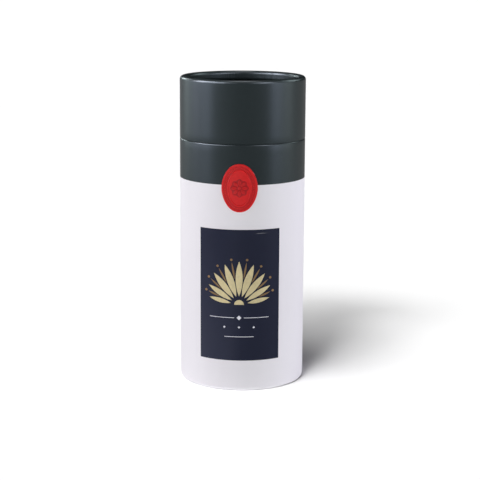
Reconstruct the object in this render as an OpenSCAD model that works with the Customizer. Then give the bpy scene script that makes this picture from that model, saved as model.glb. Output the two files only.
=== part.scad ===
// Cylindrical gift tube box with a lift-off lid.
// Two wound board tubes with one end rolled inwards, a neck tube that guides the lid,
// pressed-in discs, paper wraps turned over the mouths, a front label and an oval seal.

/* [Closed box] */
// Height of the closed box, foot to top of the rolled rim
tube_h = 255; // [240:1:330]
// Outside diameter over the paper
tube_d = 104; // [90:1:130]
// Height of the lid, seam to top of the rolled rim
lid_h = 51; // [40:1:65]
// Height of the dark band on the base below the seam
band_h = 32.5; // [24:0.5:46]

/* [Board and paper] */
// Wall of the lid tube and of the base tube
wall_t = 2; // [1.2:0.1:3]
// Thickness of the covering paper
paper_t = 0.25; // [0.15:0.05:0.4]
// Thickness of the lining paper
lining_t = 0.15; // [0.1:0.05:0.3]
// Thickness of the pressed-in discs
disc_t = 2; // [1.2:0.1:3]
// Gap that the glue fills between two glued round layers
glue_t = 0.05; // [0.03:0.01:0.1]

/* [Rolled rims and mouths] */
// Radius of the hollow in the middle of the rolled edge
roll_hollow_r = 0.7; // [0.4:0.1:1.5]
// Depth of the flat that the foot is pressed to
foot_flat = 0.1; // [0.05:0.01:0.2]
// Length of the straight part on the inner side of the lid's roll
lid_roll_straight = 2; // [0.5:0.1:3]
// Radius of the paper's outer corners at the mouth of the lid
lid_mouth_r = 0.45; // [0.4:0.05:0.8]
// Radius of the paper's outer corners at the mouth of the base
base_mouth_r = 1.15; // [0.5:0.05:1.2]
// How far the paper is turned in past a mouth
turn_in = 10; // [5:1:20]
// Gap between a disc and the roll that it is pushed against
seat_gap = 0.1; // [0.05:0.01:0.3]
// Radial gap between a disc and the wall around it
disc_gap = 0.1; // [0.05:0.01:0.3]
// Depth of the hem on the paper under the lid's disc
hem_h = 4; // [2:0.5:6]

/* [Neck] */
// Space left between the neck's rim and the hem under the lid's disc
neck_headroom = 0.65; // [0.5:0.05:15]
// Wall of the neck tube
neck_wall_t = 1.5; // [1:0.1:2.5]
// Radial gap between the neck and the mouth of the lid
lid_fit = 0.25; // [0.2:0.05:0.6]
// Radius of the paper's outer corners on the neck's rim
neck_rim_r = 0.7; // [0.4:0.1:0.9]

/* [Oval seal] */
// Width of the seal
seal_w = 29.2; // [22:0.2:31]
// Height of the seal
seal_h = 39.2; // [34:0.2:46]
// How much fuller the seal's ends are than an ellipse's
seal_fullness = 1.08; // [1:0.01:1.1]
// How far the seal's middle lies below the lower edge of the band
seal_drop = 2.3; // [0:0.1:8]
// Thickness of the seal's field
seal_t = 0.5; // [0.3:0.05:1]
// Height of the raised work on the seal
seal_relief = 0.3; // [0.1:0.05:0.6]
// Width of the seal's outer rim
seal_rim_w = 1.3; // [0.8:0.1:2]
// Distance from the seal's edge to its inner ring
seal_ring_in = 4.8; // [3.5:0.1:6]
// Width of the seal's inner ring
seal_ring_w = 0.7; // [0.4:0.1:1.2]
// Length of one petal of the rosette
petal_l = 7.6; // [5:0.1:9]
// Width of one petal of the rosette
petal_w = 2.6; // [1.5:0.1:3]
// Radius of the rosette's middle
rosette_r = 1.5; // [1:0.1:2]

/* [Front label] */
// Width of the label laid flat
label_w = 69; // [60:1:90]
// Height of the label's lower edge above the foot
label_z = 26; // [15:1:35]
// Space between the label and the seal above it
label_gap = 14.4; // [6:0.2:30]
// Thickness of the label and of the foil on it
label_t = 0.15; // [0.1:0.05:0.3]
// Height of the foil above the label
foil_t = 0.08; // [0.06:0.02:0.2]

/* [Label ornament] */
// Distance from the label's top to the root of the palmette
palmette_down = 62; // [50:1:70]
// Number of gold leaves in the palmette
gold_leaves = 9; // [5:2:11]
// Angle from the middle leaf to the outermost one
fan_a = 78; // [50:1:84]
// Distance from the root to where the leaves start
fan_start = 7; // [5:0.5:12]
// Length of the middle leaf
long_leaf = 29; // [18:0.5:32]
// Length of the outermost leaves
short_leaf = 15; // [10:0.5:22]
// Width of a leaf as a share of its length
leaf_slim = 0.2; // [0.12:0.01:0.24]
// Width of the bronze leaves between the gold ones
bronze_w = 1.5; // [0.8:0.1:2]
// Radius of the berries at the tips of the bronze leaves
berry_r = 1; // [0.5:0.05:1.4]
// Radius of the half disc at the root
root_r = 4; // [2:0.1:5]
// Space between the root and the main rule
rule_gap = 11; // [6:0.5:16]
// Length of the main rule
rule_w = 48; // [30:1:54]
// Thickness of the rules
rule_t = 0.5; // [0.3:0.1:1.2]
// Distance from one line of the ornament to the next
rule_step = 8; // [5:0.5:9]
// Half of the diagonal of the middle diamond
diamond_r = 2; // [1:0.1:3]

/* [Hidden] */
$fn = 128;
// How far a cutting shape reaches past what it cuts
past_cut = 1;

// Radii of the layers, from the outside inwards
wrap_out = tube_d / 2;
wrap_in = wrap_out - paper_t;
board_out = wrap_in - glue_t;
board_in = board_out - wall_t;
turned_out = board_in - glue_t;
turned_in = turned_out - paper_t;
lining_in = turned_out - lining_t;
neck_out = turned_in - lid_fit;
neck_board_out = neck_out - paper_t - glue_t;
neck_board_in = neck_board_out - neck_wall_t;
neck_turned_out = neck_board_in - glue_t;
neck_turned_in = neck_turned_out - paper_t;
neck_lining_in = neck_turned_out - lining_t;

// The rolled edge: its outside over the paper and the circle that its middle runs on
roll_r = roll_hollow_r + wall_t + glue_t + paper_t;
roll_path_r = wrap_out - roll_r;

// Heights
seam_z = tube_h - lid_h;
band_z = seam_z - band_h;
base_disc_z = 2 * roll_r - foot_flat + seat_gap;
floor_z = base_disc_z + paper_t + disc_t;
lid_disc_top = tube_h - 2 * roll_r - lid_roll_straight - seat_gap;
lid_disc_z = lid_disc_top - paper_t - disc_t;
neck_top = lid_disc_z - hem_h - neck_headroom;

// Lengths of the two rolled tubes, mouth to roll, before the foot is pressed flat
lid_len = lid_h;
base_len = seam_z + foot_flat;

// Label and seal
label_in = wrap_out + glue_t;
label_out = label_in + label_t;
foil_in = label_out + glue_t / 2;
foil_out = foil_in + foil_t;
seal_z = band_z - seal_drop;
seal_in = wrap_out + glue_t;
seal_face = seal_in + seal_t;
seal_out = seal_face + seal_relief;
label_top = seal_z - seal_h / 2 - label_gap;
label_h = label_top - label_z;
label_angle = label_w / (PI * label_in) * 180;
palmette_z = label_top - palmette_down;
rule_z = palmette_z - rule_gap;

// The seal's outline: two end arcs and two side arcs that run into each other
seal_half_w = seal_w / 2;
seal_half_h = seal_h / 2;
end_r = seal_fullness * seal_half_w * seal_half_w / seal_half_h;
end_up = seal_half_h - end_r;
side_r = (seal_half_w * seal_half_w + end_up * end_up - end_r * end_r) / (2 * (seal_half_w - end_r));
side_off = side_r - seal_half_w;

// A bar in the section plane from radius r0 to r1 and height h0 to h1, rounded at its h0 end
module bar_rounded_at_mouth(r0, r1, h0, h1, corner) {
    translate([r0, h0 + corner]) square([r1 - r0, h1 - h0 - corner]);
    translate([r0 + corner, h0]) square([r1 - r0 - 2 * corner, h1 - h0]);
    for (r = [r0 + corner, r1 - corner])
        translate([r, h0 + corner]) circle(corner, $fn = 32);
}

// A circle, drawn out downwards over a straight length
module drawn_out_circle(r, straight) {
    circle(r, $fn = 64);
    if (straight > 0) {
        translate([0, -straight]) circle(r, $fn = 64);
        translate([-r, -straight]) square([2 * r, straight]);
    }
}

// Three quarters of a ring: the rolled edge of one layer, open towards the wall
module roll_section(out_r, in_r, length, straight) {
    translate([roll_path_r, length - roll_r])
        difference() {
            drawn_out_circle(out_r, straight);
            drawn_out_circle(in_r, straight);
            translate([0, -2 * out_r - straight]) square([2 * out_r, 2 * out_r + straight]);
        }
}

// Section of a board tube: height 0 is its mouth, and its far end is rolled inwards
module board_section(length, corner, straight) {
    skin = paper_t + glue_t;
    bar_rounded_at_mouth(board_in, board_out, skin, length - roll_r, corner - skin);
    roll_section(roll_r - skin, roll_hollow_r, length, straight);
}

// Section of a paper turned over a mouth at height 0, up to height top on the outside
module turned_section(out_r, in_r, board_side_out, board_side_in, top, corner) {
    middle = (board_side_out + board_side_in) / 2;
    difference() {
        bar_rounded_at_mouth(in_r, out_r, 0, top, corner);
        bar_rounded_at_mouth(board_side_in, board_side_out, paper_t, 2 * top, corner - paper_t);
        translate([in_r - past_cut, turn_in]) square([middle - in_r + past_cut, 2 * top]);
    }
}

// Section of a wrap that covers a whole tube: turned in at the mouth, and round the roll
module wrap_section(length, corner, straight) {
    turned_section(wrap_out, turned_in, wrap_in, turned_out, length - roll_r, corner);
    roll_section(roll_r, roll_r - paper_t, length, straight);
}

// Section of a wrap that starts at height start and goes round the roll
module plain_wrap_section(start, length) {
    translate([wrap_in, start]) square([paper_t, length - roll_r - start]);
    roll_section(roll_r, roll_r - paper_t, length, 0);
}

// The lid's tube stands mouth down on the seam, and the base's hangs mouth up from it
module lid_side() {
    translate([0, 0, seam_z]) rotate_extrude() children();
}

module base_side() {
    difference() {
        translate([0, 0, seam_z]) mirror([0, 0, 1]) rotate_extrude() children();
        translate([0, 0, -roll_r]) cylinder(r = tube_d, h = roll_r);
    }
}

// A pipe between two radii and two heights
module pipe(out_r, in_r, low, high) {
    translate([0, 0, low])
        difference() {
            cylinder(r = out_r, h = high - low);
            translate([0, 0, -past_cut]) cylinder(r = in_r, h = high - low + 2 * past_cut);
        }
}

// A flat figure, drawn as seen from the front, laid on the tube's front between two radii
module laid_on_front(in_r, out_r, middle_z, reach) {
    intersection() {
        translate([0, 0, middle_z]) rotate([90, 0, 0]) linear_extrude(tube_d) children();
        pipe(out_r, in_r, middle_z - reach, middle_z + reach);
    }
}

// A pointed leaf between two arcs, its stalk end at the middle of the axes
module leaf(length, width) {
    arc_r = (length * length + width * width) / (4 * width);
    translate([length / 2, 0])
        intersection() {
            translate([0, arc_r - width / 2]) circle(arc_r);
            translate([0, width / 2 - arc_r]) circle(arc_r);
        }
}

// The seal's outline, set in by a distance: the side arcs meet the end arcs where both
// are square to the line through their centres
module oval(inset) {
    far = 2 * seal_h;
    slope = end_up / side_off;
    union() {
        intersection() {
            translate([-side_off, 0]) circle(side_r - inset);
            translate([side_off, 0]) circle(side_r - inset);
            polygon([
                [0, end_up], [far, end_up + far * slope], [far, -end_up - far * slope],
                [0, -end_up], [-far, -end_up - far * slope], [-far, end_up + far * slope]
            ]);
        }
        for (up = [-end_up, end_up])
            translate([0, up]) circle(end_r - inset);
    }
}

module oval_ring(inset, width) {
    difference() {
        oval(inset);
        oval(inset + width);
    }
}

module diamond(half) {
    polygon([[half, 0], [0, half], [-half, 0], [0, -half]]);
}

// Base

module base_tube() {
    color("#b9a98c") base_side() board_section(base_len, base_mouth_r, 0);
}

module base_wrap() {
    color("#e6e5ec") base_side() plain_wrap_section(band_h, base_len);
}

module collar_band() {
    color("#2b3433")
        base_side() turned_section(wrap_out, turned_in, wrap_in, turned_out, band_h, base_mouth_r);
}

// The neck's own mouth is its rim, and its other end stands on the base's disc
module neck_tube() {
    skin = paper_t + glue_t;
    color("#b9a98c")
        translate([0, 0, neck_top]) mirror([0, 0, 1]) rotate_extrude()
            bar_rounded_at_mouth(neck_board_in, neck_board_out, skin, neck_top - floor_z, neck_rim_r - skin);
}

module neck_cover() {
    color("#2b3433")
        translate([0, 0, neck_top]) mirror([0, 0, 1]) rotate_extrude()
            turned_section(
                neck_out, neck_turned_in, neck_out - paper_t, neck_turned_out, neck_top - floor_z, neck_rim_r
            );
}

module neck_lining() {
    color("#efece4") pipe(neck_turned_out, neck_lining_in, floor_z, neck_top - turn_in);
}

module base_disc() {
    color("#b9a98c") translate([0, 0, base_disc_z + paper_t]) cylinder(r = board_in - disc_gap, h = disc_t);
}

module underside_paper() {
    color("#e6e5ec") translate([0, 0, base_disc_z]) cylinder(r = board_in - disc_gap, h = paper_t);
}

module floor_paper() {
    color("#efece4") translate([0, 0, floor_z]) cylinder(r = neck_lining_in - disc_gap, h = lining_t);
}

module front_label() {
    color("#272b3c")
        translate([0, 0, label_z]) rotate([0, 0, -90 - label_angle / 2])
            rotate_extrude(angle = label_angle) translate([label_in, 0]) square([label_t, label_h]);
}

// The palmette is a fan of leaves that are longest in the middle
function leaf_length(a) = short_leaf + (long_leaf - short_leaf) * cos(a);

module on_fan(a, from_root) {
    rotate(90 - a) translate([from_root, 0]) children();
}

module gold_foil() {
    step = 2 * fan_a / (gold_leaves - 1);
    color("#c3b27c")
        laid_on_front(foil_in, foil_out, palmette_z, label_h) {
            for (i = [0 : gold_leaves - 1])
                on_fan(i * step - fan_a, fan_start)
                    leaf(leaf_length(i * step - fan_a), leaf_slim * leaf_length(i * step - fan_a));
            intersection() {
                circle(root_r);
                translate([-root_r, 0]) square(2 * root_r);
            }
        }
}

// A bronze leaf with a berry at its tip stands between each two gold ones
module bronze_foil() {
    step = 2 * fan_a / (gold_leaves - 1);
    color("#8b6f47")
        laid_on_front(foil_in, foil_out, palmette_z, label_h)
            for (i = [0 : gold_leaves - 2])
                on_fan((i + 0.5) * step - fan_a, 0) {
                    length = leaf_length((i + 0.5) * step - fan_a);
                    translate([fan_start + length / 2, 0]) leaf(length / 2, bronze_w);
                    translate([fan_start + length + 2 * berry_r, 0]) circle(berry_r, $fn = 32);
                }
}

module pale_foil() {
    color("#b8bcc8")
        laid_on_front(foil_in, foil_out, rule_z, label_h) {
            for (side = [-1, 1])
                translate([side * (rule_w / 4 + diamond_r), 0])
                    square([rule_w / 2 - 2 * diamond_r, rule_t], center = true);
            diamond(diamond_r);
            for (side = [-1, 0, 1])
                translate([side * rule_w / 4, -rule_step]) diamond(diamond_r / 2);
            translate([0, -2 * rule_step]) square([rule_w / 2, rule_t], center = true);
        }
}

module oval_seal() {
    color("#b5262c") {
        union() {
            laid_on_front(seal_in, seal_face, seal_z, seal_h) oval(0);
            laid_on_front(seal_in, seal_out, seal_z, seal_h) {
                oval_ring(0, seal_rim_w);
                oval_ring(seal_ring_in, seal_ring_w);
                circle(rosette_r, $fn = 32);
                for (i = [0 : 7])
                    rotate(i * 45) translate([rosette_r, 0]) leaf(petal_l - rosette_r, petal_w);
            }
        }
    }
}

// Lid

module lid_tube() {
    color("#b9a98c") lid_side() board_section(lid_len, lid_mouth_r, lid_roll_straight);
}

module lid_wrap() {
    color("#2b3433") lid_side() wrap_section(lid_len, lid_mouth_r, lid_roll_straight);
}

module lid_lining() {
    color("#efece4") pipe(turned_out, lining_in, seam_z + turn_in, lid_disc_top);
}

module lid_disc() {
    color("#b9a98c") translate([0, 0, lid_disc_z]) cylinder(r = lining_in - disc_gap, h = disc_t);
}

module lid_top_paper() {
    color("#2b3433") translate([0, 0, lid_disc_z + disc_t]) cylinder(r = lining_in - disc_gap, h = paper_t);
}

module lid_ceiling_paper() {
    out_r = lining_in - disc_gap;
    color("#efece4") {
        union() {
            translate([0, 0, lid_disc_z - lining_t]) cylinder(r = out_r, h = lining_t);
            pipe(out_r, out_r - lining_t, lid_disc_z - hem_h, lid_disc_z);
        }
    }
}

base_tube();
base_wrap();
collar_band();
neck_tube();
neck_cover();
neck_lining();
base_disc();
underside_paper();
floor_paper();
front_label();
gold_foil();
bronze_foil();
pale_foil();
oval_seal();
lid_tube();
lid_wrap();
lid_lining();
lid_disc();
lid_top_paper();
lid_ceiling_paper();
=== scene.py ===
"""Looks of a cylindrical gift tube box with a lift-off lid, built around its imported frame.

The frame is in metres: the middle of the foot is the origin, +Z is up along the tube, and the
label's middle faces -Y. In this script the object's sizes are in millimetres, and those of the
studio, the camera and the finishes' patterns in metres.
"""
import math

import bmesh
import bpy
from mathutils import Matrix, Vector


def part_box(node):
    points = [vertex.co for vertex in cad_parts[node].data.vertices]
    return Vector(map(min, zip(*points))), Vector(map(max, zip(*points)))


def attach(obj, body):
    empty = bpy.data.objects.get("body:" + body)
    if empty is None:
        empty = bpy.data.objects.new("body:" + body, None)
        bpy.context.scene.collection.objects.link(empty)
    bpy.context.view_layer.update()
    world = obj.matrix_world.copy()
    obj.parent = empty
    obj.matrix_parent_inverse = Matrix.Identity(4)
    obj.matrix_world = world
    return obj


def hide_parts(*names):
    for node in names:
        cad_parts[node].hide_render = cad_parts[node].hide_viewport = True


MM = 0.001
FRAME_STEP = 0.05
LOW = 0
HIGH = 1
X = 0
Z = 2

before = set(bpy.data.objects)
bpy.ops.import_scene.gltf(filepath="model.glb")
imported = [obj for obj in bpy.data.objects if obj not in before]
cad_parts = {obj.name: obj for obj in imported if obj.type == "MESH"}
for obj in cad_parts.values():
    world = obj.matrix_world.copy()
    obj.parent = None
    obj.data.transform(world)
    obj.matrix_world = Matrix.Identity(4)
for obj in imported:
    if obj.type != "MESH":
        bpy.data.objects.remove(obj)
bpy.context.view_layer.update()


def side_of(node, corner, axis):
    """One side of a node's box in the frame, in millimetres and to the nearest frame step."""
    steps = round(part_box(node)[corner][axis] / MM / FRAME_STEP)
    return round(steps * FRAME_STEP, 2)


# The closed tube
TUBE_TOP = side_of("lid_wrap", HIGH, Z)
SEAM_Z = side_of("lid_wrap", LOW, Z)
BAND_Z = side_of("base_wrap", HIGH, Z)
WRAP_R = side_of("lid_wrap", HIGH, X)
WALL = 2.0
PAPER = 0.25
GLUE = 0.05
BORE_R = WRAP_R - WALL - 2 * (PAPER + GLUE)
ROLL_HOLLOW_R = 0.7
ROLL_R = ROLL_HOLLOW_R + WALL + GLUE + PAPER
ROLL_PATH_R = WRAP_R - ROLL_R
LID_ROLL_Z = TUBE_TOP - ROLL_R
LID_ROLL_STRAIGHT = 2.0
FOOT_FLAT = 0.1
FOOT_ROLL_Z = ROLL_R - FOOT_FLAT
LID_MOUTH_R = 0.45
COLLAR_MOUTH_R = 1.15
TURN_IN = 10.0

# The neck inside it
NECK_R = side_of("neck_cover", HIGH, X)
NECK_TOP = side_of("neck_cover", HIGH, Z)
NECK_FOOT = side_of("neck_cover", LOW, Z)
NECK_WALL = 1.5
NECK_BORE_R = NECK_R - NECK_WALL - 2 * (PAPER + GLUE)
NECK_RIM_R = 0.7

# How the papers are worked: pleats, bare cut edges, and the lap where a paper ends at the back
STEPS_ROUND = 560
PLEAT = 0.17
PLEATS_ROUND = 110.0
PLEAT_WANDER = 60.0
MOUTH_PLEAT_SHARE = 0.45
CUT_EDGE = 0.02
OVERLAP_W = 7.0
OVERLAP_DROP = 0.11
WINDING_PITCH = 0.074

# Front label, and the buckle near its top right corner
LABEL_R = WRAP_R + GLUE
LABEL_THICK = 0.15
LABEL_W = 69.0
LABEL_LOW = side_of("front_label", LOW, Z)
LABEL_HIGH = side_of("front_label", HIGH, Z)
LABEL_EDGE = 0.25
LABEL_EDGE_DROP = 0.05
LABEL_INSET = 0.9
LABEL_COLUMNS = 96
LABEL_END_ROW = 1.0
LABEL_ROW_STEP = 1.6
CREASE_Z = LABEL_HIGH - 3.6
CREASE_REACH = 2.2
CREASE_ROW_STEP = 0.2
CREASE_LIFT = 0.34
CREASE_HALF_W = 0.62
CREASE_MIDDLE = 17.7
CREASE_SLOPE = 0.02
CREASE_START = (10.6, 14.5)
CREASE_END = (20.5, 25.0)

# Stamped ornament on the label
FOIL_R = LABEL_R + LABEL_THICK + GLUE / 2
FOIL_THICK = 0.08
FOIL_EDGE = 0.35
LEAF_GROOVE = 0.035
DIAMOND_CROWN = 0.01
DIAMOND_R = 2.0
PALMETTE_Z = side_of("gold_foil", LOW, Z)
RULE_Z = side_of("pale_foil", HIGH, Z) - DIAMOND_R
FAN_ANGLE = math.radians(78)
GOLD_LEAVES = 9
LEAF_SLIM = 0.2
FAN_START = 7.0
LONG_LEAF = 29.0
SHORT_LEAF = 15.0
BRONZE_LEAF_W = 1.5
BERRY_R = 1.0
ROOT_R = 4.0
RULE_W = 48.0
RULE_HALF_T = 0.25
RULE_STEP = 8.0

# Oval seal: its outline is two end arcs and two side arcs
SEAL_R = WRAP_R + GLUE
SEAL_FIELD = 0.5
SEAL_RELIEF = 0.3
SEAL_LOW = side_of("oval_seal", LOW, Z)
SEAL_HIGH = side_of("oval_seal", HIGH, Z)
SEAL_Z = (SEAL_LOW + SEAL_HIGH) / 2
SEAL_HALF_W = side_of("oval_seal", HIGH, X)
SEAL_HALF_H = (SEAL_HIGH - SEAL_LOW) / 2
SEAL_FULLNESS = 1.08
END_R = SEAL_FULLNESS * SEAL_HALF_W ** 2 / SEAL_HALF_H
END_UP = SEAL_HALF_H - END_R
SIDE_R = (SEAL_HALF_W ** 2 + END_UP ** 2 - END_R ** 2) / (2 * (SEAL_HALF_W - END_R))
SIDE_OFF = SIDE_R - SEAL_HALF_W
SEAL_RIM_W = 1.3
SEAL_RING_IN = 4.8
SEAL_RING_W = 0.7
PETALS = 8
PETAL_L = 7.0
PETAL_W = 2.9
ROSETTE_R = 1.5
ROUNDEL_R = 7.2
SCALLOP = 0.06
BEADS = 64
BEAD_INSET = 3.1
BEAD_R = 0.45
BEAD_H = 0.26
BEAD_LINE_STEPS = 240
SEAL_STEPS = 300
SEAL_INSETS = (
    0.0, 0.06, 0.14, 0.24, 0.4, 0.7, 1.0, 1.18, 1.28, 1.38, 1.48, 1.6, 2.0, 2.5, 3.1,
    3.7, 4.2, 4.5, 4.64, 4.74, 4.84, 4.96, 5.14, 5.34, 5.46, 5.56, 5.66, 5.8,
)
SEAL_INNER_RINGS = 58
SEAL_BACK_EVERY = 6

# Softboxes round the tube: name, azimuth, elevation, size, watts and tint
TUBE_MIDDLE = Vector((0.0, 0.0, TUBE_TOP * MM / 2))
SOFTBOX_AWAY = 1.3
LARGE = (0.5, 0.6)
BROAD = (0.6, 0.55)
MIDDLE = (0.5, 0.5)
SMALL = (0.28, 0.28)
PLAIN = (1.0, 1.0, 1.0)
BLUE = (1.05, 1.0, 1.2)
VIOLET = (1.1, 1.0, 1.1)
WARM = (1.15, 1.0, 1.0)
COOL = (0.9, 1.0, 1.0)
DARK_BOXES = [
    ("dark_far_left", -115, 10, LARGE, 1.5, COOL),
    ("dark_left", -90, 10, LARGE, 2.0, BLUE),
    ("dark_front_left", -65, 10, LARGE, 2.5, BLUE),
    ("dark_front_right", 65, 10, LARGE, 2.5, BLUE),
    ("dark_right", 90, 10, LARGE, 1.5, PLAIN),
    ("dark_high_left", -80, 35, BROAD, 22.0, VIOLET),
    ("dark_high_front_left", -45, 35, BROAD, 11.0, VIOLET),
    ("dark_high_front_right", 45, 35, BROAD, 9.0, VIOLET),
    ("dark_high_right", 115, 35, BROAD, 4.0, COOL),
    ("dark_top", 0, 89, MIDDLE, 4.0, WARM),
    ("dark_back_left", -140, 22, SMALL, 3.0, COOL),
]
PALE_BOXES = [
    ("pale_back_left", -140, 10, LARGE, 4.0, PLAIN),
    ("pale_left", -90, 10, LARGE, 4.0, PLAIN),
    ("pale_front_left", -65, 10, LARGE, 3.5, VIOLET),
    ("pale_front", -15, 10, LARGE, 2.5, PLAIN),
    ("pale_front_right", 65, 10, LARGE, 3.0, PLAIN),
    ("pale_back_right", 140, 10, LARGE, 2.0, PLAIN),
    ("pale_right", 100, 22, SMALL, 5.0, BLUE),
]
DARK_PIECES = ("lid_paper", "collar_paper", "neck_paper", "lid_top_paper")

# What only the label mirrors
BUCKLE_AZIMUTH = 41
BUCKLE_ELEVATION = 38
BUCKLE_WATTS = 32.0
SHEEN_PLACE = Vector((-0.17, -0.13, 0.002))
SHEEN_SIZE = (0.3, 0.3)
SHEEN_WATTS = 0.7

# The room, and the patch of it that glossy surfaces reflect
ROOM_WHITE = 1.1
GLOW_AZIMUTH = 90
GLOW_TOP = -0.05
GLOW_FADE = 0.15
GLOW_STRENGTH = 0.64

# Floor and its suns: name, azimuth, elevation and share of the floor's light
FLOOR_R = 12.0
FLOOR_STEPS = 96
FLOOR_GREY = 0.85
FLOOR_LIGHT = 3.75
SUN_AWAY = 2.0
SUN_WIDTH = 12.0
FLOOR_SUNS = [
    ("floor_sun_a", -4, 44, 0.10),
    ("floor_sun_b", -18, 44, 0.25),
    ("floor_sun_c", -18, 52, 0.10),
    ("floor_sun_d", -32, 44, 0.20),
    ("floor_sun_e", -46, 60, 0.15),
    ("floor_sun_f", -60, 68, 0.10),
    ("floor_sun_g", -74, 76, 0.10),
]

# Camera
CAMERA_LENS = 104.7
CAMERA_AWAY = 1.15453
CAMERA_Z = 0.35029
CAMERA_TURN = math.radians(2.5)
CAMERA_YAW = math.radians(0.0884)
CAMERA_PITCH = math.radians(11.451)
CAMERA_ROLL = math.radians(0.243)


# Node trees

class Sheet:
    """A node tree with short calls that add nodes and join them."""

    def __init__(self, tree):
        self.tree = tree

    def add(self, kind, inputs=(), output=0, **settings):
        """Adds a node; inputs maps a socket's name or number to a value or to another socket."""
        node = self.tree.nodes.new(kind)
        for name, value in settings.items():
            setattr(node, name, value)
        for key, value in dict(inputs).items():
            if isinstance(value, bpy.types.NodeSocket):
                self.tree.links.new(value, node.inputs[key])
            else:
                node.inputs[key].default_value = value
        return node.outputs[output] if len(node.outputs) else node

    def into(self, shader, name, value):
        self.tree.links.new(value, shader.inputs[name])

    def math(self, operation, *values, clamp=False):
        inputs = dict(enumerate(values))
        return self.add("ShaderNodeMath", inputs, operation=operation, use_clamp=clamp)

    def plus(self, first, second):
        return self.math("ADD", first, second)

    def minus(self, first, second):
        return self.math("SUBTRACT", first, second)

    def times(self, first, second):
        return self.math("MULTIPLY", first, second)

    def vector(self, operation, *values, output=0):
        inputs = dict(enumerate(values))
        return self.add("ShaderNodeVectorMath", inputs, output, operation=operation)

    def scaled(self, vector, factor):
        return self.add("ShaderNodeVectorMath", {"Vector": vector, "Scale": factor}, operation="SCALE")

    def combine(self, x, y, z):
        return self.add("ShaderNodeCombineXYZ", {"X": x, "Y": y, "Z": z})

    def parts(self, vector):
        self.add("ShaderNodeSeparateXYZ", {"Vector": vector})
        return self.tree.nodes[-1].outputs

    def smooth_step(self, value, low, high):
        inputs = {"Value": value, "From Min": low, "From Max": high}
        return self.add("ShaderNodeMapRange", inputs, interpolation_type="SMOOTHSTEP")

    def spread(self, value, low, high, to_low, to_high):
        inputs = {
            "Value": value, "From Min": low, "From Max": high, "To Min": to_low, "To Max": to_high,
        }
        return self.add("ShaderNodeMapRange", inputs)

    def noise(self, vector, scale, detail=2.0, roughness=0.5):
        inputs = {"Vector": vector, "Scale": scale, "Detail": detail, "Roughness": roughness}
        return self.add("ShaderNodeTexNoise", inputs)


def geometry_tree(name, inputs):
    """A geometry tree with a geometry input, named inputs and its group nodes."""
    tree = bpy.data.node_groups.new(name, "GeometryNodeTree")
    tree.interface.new_socket("Geometry", in_out="INPUT", socket_type="NodeSocketGeometry")
    for label, kind in inputs:
        tree.interface.new_socket(label, in_out="INPUT", socket_type="NodeSocket" + kind)
    tree.interface.new_socket("Geometry", in_out="OUTPUT", socket_type="NodeSocketGeometry")
    sheet = Sheet(tree)
    given = tree.nodes.new("NodeGroupInput").outputs
    return sheet, given


def finish_tree(sheet, geometry, material):
    realized = sheet.add("GeometryNodeRealizeInstances", {"Geometry": geometry})
    painted = sheet.add("GeometryNodeSetMaterial", {"Geometry": realized, "Material": material})
    out = sheet.tree.nodes.new("NodeGroupOutput")
    sheet.tree.links.new(painted, out.inputs[0])


def named(sheet, name, kind="FLOAT"):
    return sheet.add("GeometryNodeInputNamedAttribute", {"Name": name}, data_type=kind)


def laid_on_front(sheet, flat, radius, height):
    """Lays flat figures on the front of the tube, at a radius and with their origin at a height."""
    x, y, depth = sheet.parts(sheet.add("GeometryNodeInputPosition"))
    radius = sheet.plus(radius, depth)
    rest = sheet.minus(sheet.math("POWER", radius, 2.0), sheet.math("POWER", x, 2.0))
    front = sheet.times(sheet.math("SQRT", rest), -1.0)
    laid = sheet.combine(x, front, sheet.plus(y, height))
    return sheet.add("GeometryNodeSetPosition", {"Geometry": flat, "Position": laid})


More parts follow.
